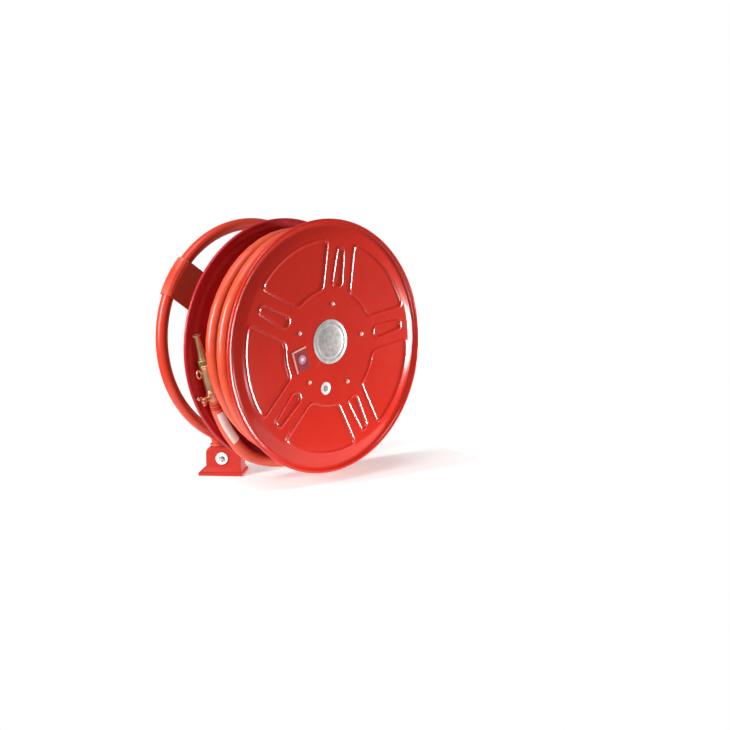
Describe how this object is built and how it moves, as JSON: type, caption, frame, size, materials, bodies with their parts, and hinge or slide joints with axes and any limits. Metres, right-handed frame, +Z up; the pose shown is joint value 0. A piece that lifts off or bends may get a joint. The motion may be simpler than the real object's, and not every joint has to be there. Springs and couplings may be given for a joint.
{
  "type": "swinging fire hose reel",
  "caption": "Drum of red fire hose between two pressed discs, turning on a bent-pipe frame that swings on a bolted foot, with a brass shut-off nozzle stowed in the drum.",
  "frame": {"origin": "where the swing axis meets the underside of the foot", "axes": "+Z up along the swing axis; -Y is the way the discs face at rest, along the drum's axis; +X to the right seen from the front"},
  "size_m": [0.56, 0.3317, 0.585],
  "materials": {
    "red_paint": "glossy baked red paint",
    "red_rubber": "smooth red rubber hose cover",
    "brass": "turned and cast brass, lightly dulled",
    "olive_brass": "tarnished brass",
    "zinc": "bright zinc plate",
    "steel": "turned steel",
    "bronze": "sintered bronze",
    "black_rubber": "moulded seal rubber",
    "white_plastic": "white plastic",
    "label_silver": "silver-white printed label, blank",
    "label_red": "dark red label, blank"
  },
  "bodies": {
    "foot": {"foot_casting": "red_paint", "swing_bush": "bronze", "swing_seal": "black_rubber", "inlet_adapter": "brass", "foot_bolt_washer": "white_plastic", "foot_bolt": "zinc"},
    "swing_frame": {"frame_pipe": "red_paint", "neck_collar": "red_paint", "cross_strap": "red_paint", "spindle_flange": "steel", "flange_bolt_1": "zinc", "flange_bolt_2": "zinc", "flange_bolt_3": "zinc", "flange_bolt_4": "zinc", "spindle": "steel", "inlet_elbow": "brass", "union_nut": "brass", "seal_ring_rear": "black_rubber", "seal_ring_front": "black_rubber", "spindle_washer": "zinc", "spindle_nut": "zinc"},
    "cock": {"cock_plug": "bronze", "cock_handle": "brass"},
    "reel": {"front_disc": "red_paint", "rear_disc": "red_paint", "drum_barrel": "red_paint", "hose_ferrule": "red_paint", "hose_pack": "red_rubber", "hose_tail": "red_rubber", "nozzle_jet": "brass", "nozzle_body": "brass", "nozzle_eye": "brass", "cock_body": "brass", "front_rivet_1": "brass", "front_rivet_2": "brass", "front_rivet_3": "brass", "front_rivet_4": "brass", "front_rivet_5": "brass", "rear_rivet_1": "brass", "rear_rivet_2": "brass", "rear_rivet_3": "brass", "rear_rivet_4": "brass", "rear_rivet_5": "brass", "nozzle_collar": "olive_brass", "hose_clamp": "zinc", "hub": "steel", "hub_outlet": "steel", "bush_front": "bronze", "bush_rear": "bronze", "hose_sleeve": "white_plastic", "centre_label": "label_silver", "small_label": "label_silver", "square_label": "label_red"}
  },
  "joints": [
    {"name": "swing", "type": "hinge", "parent": "foot", "child": "swing_frame", "pos_m": [0, 0, 0.05], "axis": [0, 0, 1], "range_deg": [-48, 132]},
    {"name": "reel_spin", "type": "hinge", "parent": "swing_frame", "child": "reel", "pos_m": [0.109, -0.19, 0.305], "axis": [0, 1, 0], "continuous": true},
    {"name": "cock_turn", "type": "hinge", "parent": "reel", "child": "cock", "pos_m": [-0.11007, -0.134, 0.20434], "axis": [-0.9554, 0, -0.2953], "range_deg": [-55, 35]}
  ]
}
